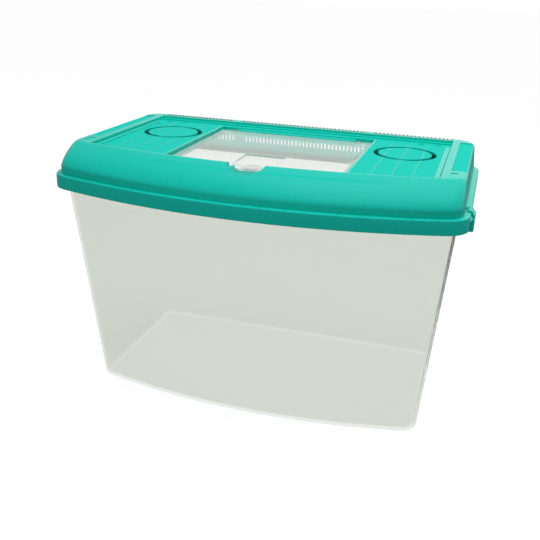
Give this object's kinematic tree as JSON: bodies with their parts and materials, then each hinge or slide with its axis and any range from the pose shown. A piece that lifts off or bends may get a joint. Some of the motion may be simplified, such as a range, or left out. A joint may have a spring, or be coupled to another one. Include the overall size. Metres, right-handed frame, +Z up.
{
  "type": "plastic pet keeper",
  "caption": "Clear tapered plastic tank with a bowed front under a domed lid with a clear hinged hatch, vent slots, tube knock-outs and side clips.",
  "frame": {"origin": "on the floor under the middle of the lid's rim", "axes": "+Z up, -Y towards the bowed front and the finger tab, +X to the right seen from the front"},
  "size_m": [0.3868, 0.2424, 0.2504],
  "materials": {
    "clear_tank": "clear moulded polystyrene, faintly grey-green",
    "clear_hatch": "clear moulded polystyrene",
    "lid_plastic": "teal, glossy borders and matte panels",
    "clip_plastic": "teal"
  },
  "bodies": {
    "tank": {"tank": "clear_tank"},
    "lid": {"lid": "lid_plastic"},
    "hatch": {"hatch": "clear_hatch"},
    "clip_left": {"clip_left": "clip_plastic"},
    "clip_right": {"clip_right": "clip_plastic"}
  },
  "joints": [
    {"name": "lid_lift", "type": "slide", "parent": "tank", "child": "lid", "axis": [0, 0, 1], "range_m": [0, 0.15]},
    {"name": "hatch_hinge", "type": "hinge", "parent": "lid", "child": "hatch", "pos_m": [0, 0.081, 0.2428], "axis": [-1, 0, 0], "range_deg": [0, 110]},
    {"name": "clip_left_hinge", "type": "hinge", "parent": "lid", "child": "clip_left", "pos_m": [-0.1884, -0.055, 0.2228], "axis": [0, 1, 0], "range_deg": [0, 95]},
    {"name": "clip_right_hinge", "type": "hinge", "parent": "lid", "child": "clip_right", "pos_m": [0.1884, -0.055, 0.2228], "axis": [0, -1, 0], "range_deg": [0, 95]}
  ]
}
